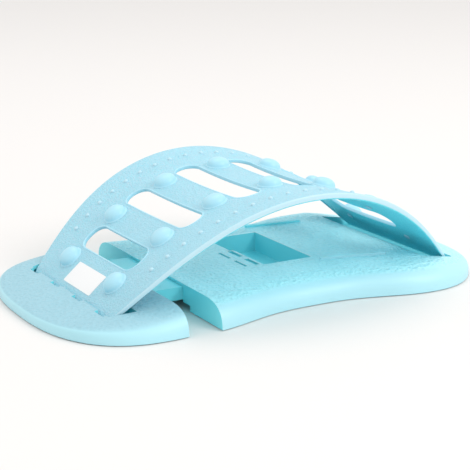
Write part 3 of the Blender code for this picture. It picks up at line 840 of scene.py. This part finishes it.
def foot_middle(arch, s):
    x, z = arch_point(arch, s)
    slope = arch_slope(arch, s)
    return x + math.sin(slope) * arch.thickness / 2, z - math.cos(slope) * arch.thickness / 2


def foot_share(arch, s):
    return abs(2 * s - arch.left_end - arch.right_end) / (arch.right_end - arch.left_end)


def board_half(arch, s):
    return arch.crest_half - (arch.crest_half - arch.foot_half) * foot_share(arch, s) ** 2


def dish(arch, s):
    return arch.dish * (1 - min(foot_share(arch, s), 1.0) ** 4)


def board_place(arch, s, y, up):
    """The place on the bent board of a point of the flat one."""
    x, z = arch_point(arch, s)
    slope = arch_slope(arch, s)
    lift = up + dish(arch, s) * (y / arch.crest_half) ** 2
    return Vector((x - math.sin(slope) * lift, y, z + math.cos(slope) * lift))


def board_frame(arch, s, y):
    """Matrix at a point of the bent board: X along it, Y across, Z square to it."""
    slope = arch_slope(arch, s)
    lean = 2 * dish(arch, s) * y / arch.crest_half ** 2
    along = Vector((math.cos(slope), 0, math.sin(slope)))
    normal = Vector((-math.sin(slope), 0, math.cos(slope)))
    across = (Vector((0, 1, 0)) + normal * lean).normalized()
    place = Matrix((along, across, along.cross(across))).transposed().to_4x4()
    place.translation = board_place(arch, s, y, 0.0)
    return place


def dome_place(arch, pair):
    return arch.dome_middle + (pair - (arch.dome_pairs - 1) / 2) * arch.dome_pitch


def slice_up(bm, along_step, across_step):
    """Divides the flat mesh into small cells, so that it can be bent."""
    xs = [v.co.x for v in bm.verts]
    ys = [v.co.y for v in bm.verts]
    for axis, low, high, step in ((0, min(xs), max(xs), along_step), (1, min(ys), max(ys), across_step)):
        count = max(1, round((high - low) / step))
        for k in range(1, count):
            place = [0.0, 0.0, 0.0]
            square = [0.0, 0.0, 0.0]
            place[axis] = low + (high - low) * k / count
            square[axis] = 1.0
            split_at(bm, place, square)


def bend(arch, piece):
    """Bends a flat piece onto the arch. What hangs below the sheet gets shallower towards the feet."""
    shallow_from = 0.45
    shallow_over = 0.5
    shallow_by = 0.75
    for vert in piece.data.vertices:
        s, y, up = vert.co
        if up < -arch.sheet:
            share = min(max((foot_share(arch, s) - shallow_from) / shallow_over, 0.0), 1.0)
            up = -arch.sheet + (up + arch.sheet) * (1 - shallow_by * share)
        vert.co = board_place(arch, s, y, up)


def flex(arch, piece):
    """Bakes the piece's place into its mesh. The point on the board beside the middle domes that is worked
    out first is not used.
    """
    dome_clearance = 0.0024
    x, z = arch_point(arch, arch.dome_middle - arch.dome_radius - dome_clearance)
    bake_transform(piece)


def flat_outline(arch, inset, beyond, low, high, steps=64):
    """The flat board's outline as an upright block, set in from its long edges and run past its feet."""
    length = arch.right_end - arch.left_end
    kept_clear = 1.3 * arch.foot_corner
    places = [arch.left_end + length * k / steps for k in range(steps + 1)]
    places = [s for s in places if not 0.001 < (1 - foot_share(arch, s)) * length / 2 < kept_clear]
    near = [(s, inset - board_half(arch, s)) for s in places]
    near[0] = (near[0][0] - beyond, near[0][1])
    near[-1] = (near[-1][0] + beyond, near[-1][1])
    return prism(near + [(x, -y) for x, y in reversed(near)], low, high)


def window_block(middle, width, half, corner, rings, look, segments=8):
    """A block with rounded corners, drawn up through rings given by their height and how far out they are."""
    bm = bmesh.new()
    order = bm.verts.layers.int.new("order")
    count = 4 * (segments + 1)
    start = bmesh.ops.create_circle(bm, cap_ends=True, segments=count, radius=1.0)["verts"]
    spots = []
    for turn in range(4):
        side_x = 1 if turn in (0, 3) else -1
        side_y = 1 if turn in (0, 1) else -1
        centre = Vector((middle + side_x * (width / 2 - corner), side_y * (half - corner), 0))
        for k in range(segments + 1):
            angle = math.pi / 2 * (turn + k / segments)
            way = Vector((math.cos(angle), math.sin(angle), 0))
            spots.append((centre + way * corner, way))
    for k, vert in enumerate(start):
        vert[order] = k
        vert.co = spots[k][0] + spots[k][1] * rings[0][1] + Vector((0, 0, rings[0][0]))
    edges = bm.edges[:]
    for height, out in rings[1:]:
        verts, edges = draw_up(bm, edges)
        for vert in verts:
            spot, way = spots[vert[order]]
            vert.co = spot + way * out + Vector((0, 0, height))
        edges = [e for e in edges if all(abs(v.co.z - height) < 1e-9 for v in e.verts)]
    bmesh.ops.edgeloop_fill(bm, edges=edges)
    bmesh.ops.recalc_face_normals(bm, faces=bm.faces)
    return cutter(bm, look)


def open_window(arch, board, gap, look):
    """Puts a window with a raised bead between two neighbouring pairs of domes."""
    middle = (dome_place(arch, gap) + dome_place(arch, gap + 1)) / 2
    width = arch.end_window if gap in (0, arch.dome_pairs - 2) else arch.window
    half = arch.window_half - arch.window_taper * foot_share(arch, middle) ** 2
    sheet, high, wide, edge = arch.sheet, arch.bead_height, arch.bead_width, arch.window_edge
    sunk = 0.0001
    soft = 0.0005
    under = 0.0007
    bead = [(-sheet / 2, wide), (-sunk, wide), (high * 0.35, wide - soft * 0.16),
            (high * 0.75, wide - soft * 0.56), (high, wide - soft)]
    hole = [(-CLEAR, under), (-sheet, under), (-sheet + 0.0002, 0.0003), (-sheet + under, 0.0),
            (high - edge, 0.0), (high - edge * 0.5, edge * 0.13), (high - edge * 0.13, edge * 0.5),
            (high, edge), (CLEAR, edge + 0.0002)]
    cut(board, window_block(middle, width, half, arch.window_corner, bead, look), "UNION")
    cut(board, window_block(middle, width, half, arch.window_corner, hole, look))


class STRETCHER_OT_board(Operator):
    """Make the sprung board in one piece, with its rims, windows and rounded edges"""

    bl_idname = "stretcher.board"
    bl_label = "Arch board"

    def execute(self, context):
        arch = context.scene.stretcher_arch
        cell_along, cell_across = 0.004, 0.009
        board = flat_outline(arch, 0.0, 0.0, -arch.thickness, 0.0)
        board.name = "arch_board"
        bm = open_mesh(board)
        for side, corner in ((-1, arch.foot_corner), (1, arch.right_corner)):
            corners = [e for e in upright_edges(bm)
                       if foot_share(arch, e.verts[0].co.x) > 0.999 and e.verts[0].co.x * side > 0]
            round_corners(bm, corners, corner, 6)
        close_mesh(board, bm)
        board.data.materials.append(finish(context, "board"))
        rim = finish(context, "rim")
        # The window beads and walls take a lighter look: a painted highlight
        edging = finish(context, "bead")
        # Board edges are rounded and painted lighter: a painted highlight
        round_edges(board, arch.edge, rim, 4, 60.0)
        # Side faces of the board also take the lighter rim look: a painted highlight
        side_low = -arch.thickness + 0.0010
        for face in board.data.polygons:
            sideways = abs(face.normal.z) < 0.97 and face.center.z > side_low
            face.material_index = 1 if sideways else 0
        cut(board, flat_outline(arch, arch.rim_width, CLEAR, -CLEAR, -arch.sheet))
        for gap in range(arch.dome_pairs - 1):
            open_window(arch, board, gap, edging)
        tidy(board)
        bm = open_mesh(board)
        slice_up(bm, cell_along, cell_across)
        close_mesh(board, bm)
        bend(arch, board)
        shade(board, 50.0)
        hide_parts("arch_board_main_half", "arch_board_slide_half")
        flex(arch, board)
        return {"FINISHED"}


class STRETCHER_OT_domes(Operator):
    """Make the soft domes, with their pins through the board"""

    bl_idname = "stretcher.domes"
    bl_label = "Domes"

    def execute(self, context):
        arch = context.scene.stretcher_arch
        radius = arch.dome_radius
        height = arch.dome_height
        steps = 12
        power = 2 / 2.3
        pin = 0.0020
        sunk = 0.0003
        skirt = [(0.0, 0.0009), (0.0002, 0.0006), (0.0006, 0.0005), (0.0009, 0.0003), (0.0010, -sunk)]
        button = [(0.0030, sunk), (0.0029, 0.0008), (0.0022, 0.0012), (0.0, 0.0012)]
        turns = [math.pi / 2 * k / steps for k in range(steps)]
        profile = [(radius * math.sin(turn) ** power, height * math.cos(turn) ** power) for turn in turns]
        profile += [(radius + out, up) for out, up in skirt]
        profile += [(pin, -sunk), (pin, -arch.sheet - sunk)]
        profile += [(out, -arch.sheet - down) for out, down in button]
        for pair in range(arch.dome_pairs):
            for side, row in ((-1, "near"), (1, "far")):
                bm = bmesh.new()
                verts = [bm.verts.new((r, 0, z)) for r, z in profile]
                edges = [bm.edges.new(ends) for ends in zip(verts, verts[1:])]
                bmesh.ops.spin(bm, geom=verts + edges, cent=(0, 0, 0), axis=(0, 0, 1), angle=2 * math.pi,
                               steps=40, use_merge=True)
                bmesh.ops.remove_doubles(bm, verts=bm.verts, dist=MERGE)
                bmesh.ops.recalc_face_normals(bm, faces=bm.faces)
                bm.transform(board_frame(arch, dome_place(arch, pair), side * arch.dome_row))
                dome = to_object(f"dome_{row}_{pair + 1}_soft", bm, finish(context, "dome"))
                shade(dome, 60.0)
                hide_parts(f"dome_{row}_{pair + 1}")
                flex(arch, dome)
        return {"FINISHED"}


class STRETCHER_OT_nubs(Operator):
    """Make the small nubs along both long edges of the board"""

    bl_idname = "stretcher.nubs"
    bl_label = "Edge nubs"

    pitch: length_value("Pitch", "Spacing of the nubs", 0.0150)
    first: length_value("First", "First nub, along the board", -0.1231)
    count: IntProperty(name="Count", description="Nubs in a row", default=18)
    row: length_value("Row", "Row's distance from the middle at the crest", 0.0865)
    radius: length_value("Radius", "Radius of a nub", 0.0020)

    def execute(self, context):
        arch = context.scene.stretcher_arch
        row_taper = 0.0297
        flatness = 0.85
        bm = bmesh.new()
        for k in range(self.count):
            s = self.first + k * self.pitch
            y = self.row - row_taper * foot_share(arch, s) ** 2
            for side in (-1, 1):
                place = board_frame(arch, s, side * y) @ Matrix.Diagonal((1.0, 1.0, flatness, 1.0))
                bmesh.ops.create_uvsphere(bm, u_segments=14, v_segments=8, radius=self.radius, matrix=place)
        # The nubs take the lighter rim look: a painted highlight
        nubs = to_object("edge_nubs", bm, finish(context, "rim"))
        shade(nubs, 60.0)
        flex(arch, nubs)
        return {"FINISHED"}


class STRETCHER_OT_label(Operator):
    """Make the blank white label at the board's left foot"""

    bl_idname = "stretcher.label"
    bl_label = "Blank label"

    def execute(self, context):
        arch = context.scene.stretcher_arch
        left, right = -0.1652, -0.1452
        near, far = -0.0250, 0.0260
        thickness = 0.00025
        corner = 0.0008
        cell_along, cell_across = 0.004, 0.006
        bm = block_mesh((left, near, 0.0), (right, far, thickness), corner, 4)
        slice_up(bm, cell_along, cell_across)
        label = to_object("blank_label", bm, finish(context, "label"))
        bend(arch, label)
        shade(label)
        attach(label, "arch_slide")
        return {"FINISHED"}


class STRETCHER_OT_hidden_parts(Operator):
    """Finish the catch, tunnel cover, screws and rubber feet"""

    bl_idname = "stretcher.hidden_parts"
    bl_label = "Catch, cover, screws and feet"

    def execute(self, context):
        looks = {"main_pad": "pad", "slide_pad": "pad", "cover_screw": "screw",
                 "release_catch": "shell", "tunnel_cover": "shell"}
        for name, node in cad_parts.items():
            for start, key in looks.items():
                if name.startswith(start):
                    node.data.materials.clear()
                    node.data.materials.append(finish(context, key))
        return {"FINISHED"}


def area_light(name, power, size, place):
    """A round lamp that points at the board."""
    target = Vector((0, 0, 0.03))
    lamp = bpy.data.lights.new(name, "AREA")
    lamp.energy = power
    lamp.shape = "DISK"
    lamp.size = size
    made = bpy.data.objects.new(name, lamp)
    made.location = place
    made.rotation_euler = (target - Vector(place)).to_track_quat("-Z", "Y").to_euler()
    bpy.context.scene.collection.objects.link(made)


def view_matrix(view):
    """The camera's place: X to its right, Y up and Z back from the target, turned by the roll."""
    az, el = view.azimuth, view.elevation
    back = Vector((math.sin(az) * math.cos(el), -math.cos(az) * math.cos(el), math.sin(el)))
    right = (-back).cross(Vector((0, 0, 1))).normalized()
    up = right.cross(-back)
    turned_right = right * math.cos(view.roll) + up * math.sin(view.roll)
    turned_up = up * math.cos(view.roll) - right * math.sin(view.roll)
    place = Matrix((turned_right, turned_up, back)).transposed().to_4x4()
    place.translation = Vector(view.target) + back * view.distance
    return place


class STRETCHER_OT_stage(Operator):
    """Set the floor, the lights and the camera"""

    bl_idname = "stretcher.stage"
    bl_label = "Stage"

    def execute(self, context):
        view = context.scene.stretcher_view
        key_size, key_place = 1.2, (1.0, -1.6, 1.5)
        top_size, top_place = 1.4, (0.2, 0.85, 2.0)
        bm = bmesh.new()
        bmesh.ops.create_grid(bm, x_segments=4, y_segments=4, size=6.0)
        floor = to_object("floor", bm)
        made = new_material("floor_pale", Roughness=0.9, **{"Base Color": (*view.floor_colour, 1.0),
                                                            "Specular IOR Level": 0.1})[0]
        floor.data.materials.append(made)
        world = bpy.data.worlds.new("studio")
        world.use_nodes = True
        background = world.node_tree.nodes["Background"]
        background.inputs["Color"].default_value = (*view.world_colour, 1.0)
        background.inputs["Strength"].default_value = view.world_strength
        context.scene.world = world
        area_light("key", view.key_power, key_size, key_place)
        area_light("top", view.top_power, top_size, top_place)
        lens = bpy.data.cameras.new("photo_view")
        lens.lens = view.lens
        lens.sensor_width = 36.0
        lens.sensor_fit = "HORIZONTAL"
        lens.clip_start = 0.01
        camera = bpy.data.objects.new("photo_view", lens)
        camera.matrix_world = view_matrix(view)
        context.scene.collection.objects.link(camera)
        context.scene.camera = camera
        context.scene.view_settings.view_transform = "Standard"
        context.scene.view_settings.look = "None"
        return {"FINISHED"}


class STRETCHER_PT_panel(Panel):
    """Lists the steps that make the stretcher"""

    bl_idname = "STRETCHER_PT_panel"
    bl_label = "Lumbar Back Stretcher"
    bl_space_type = "VIEW_3D"
    bl_region_type = "UI"
    bl_category = "Stretcher"

    def draw(self, context):
        for step in STEPS:
            self.layout.operator(step.bl_idname)


STEPS = (
    STRETCHER_OT_main_shell,
    STRETCHER_OT_slide_shell,
    STRETCHER_OT_board,
    STRETCHER_OT_domes,
    STRETCHER_OT_nubs,
    STRETCHER_OT_label,
    STRETCHER_OT_hidden_parts,
    STRETCHER_OT_stage,
)
SETTINGS = {
    "stretcher_base": BaseSize,
    "stretcher_arch": ArchSize,
    "stretcher_finish": FinishLook,
    "stretcher_view": StageView,
}


def register():
    for group in SETTINGS.values():
        bpy.utils.register_class(group)
    for step in (*STEPS, STRETCHER_PT_panel):
        bpy.utils.register_class(step)
    for name, group in SETTINGS.items():
        setattr(bpy.types.Scene, name, PointerProperty(type=group))


def unregister():
    for name in SETTINGS:
        delattr(bpy.types.Scene, name)
    for step in (*STEPS, STRETCHER_PT_panel):
        bpy.utils.unregister_class(step)
    for group in SETTINGS.values():
        bpy.utils.unregister_class(group)


def main():
    register()
    for step in STEPS:
        group, name = step.bl_idname.split(".")
        getattr(getattr(bpy.ops, group), name)()


if __name__ == "__main__":
    main()
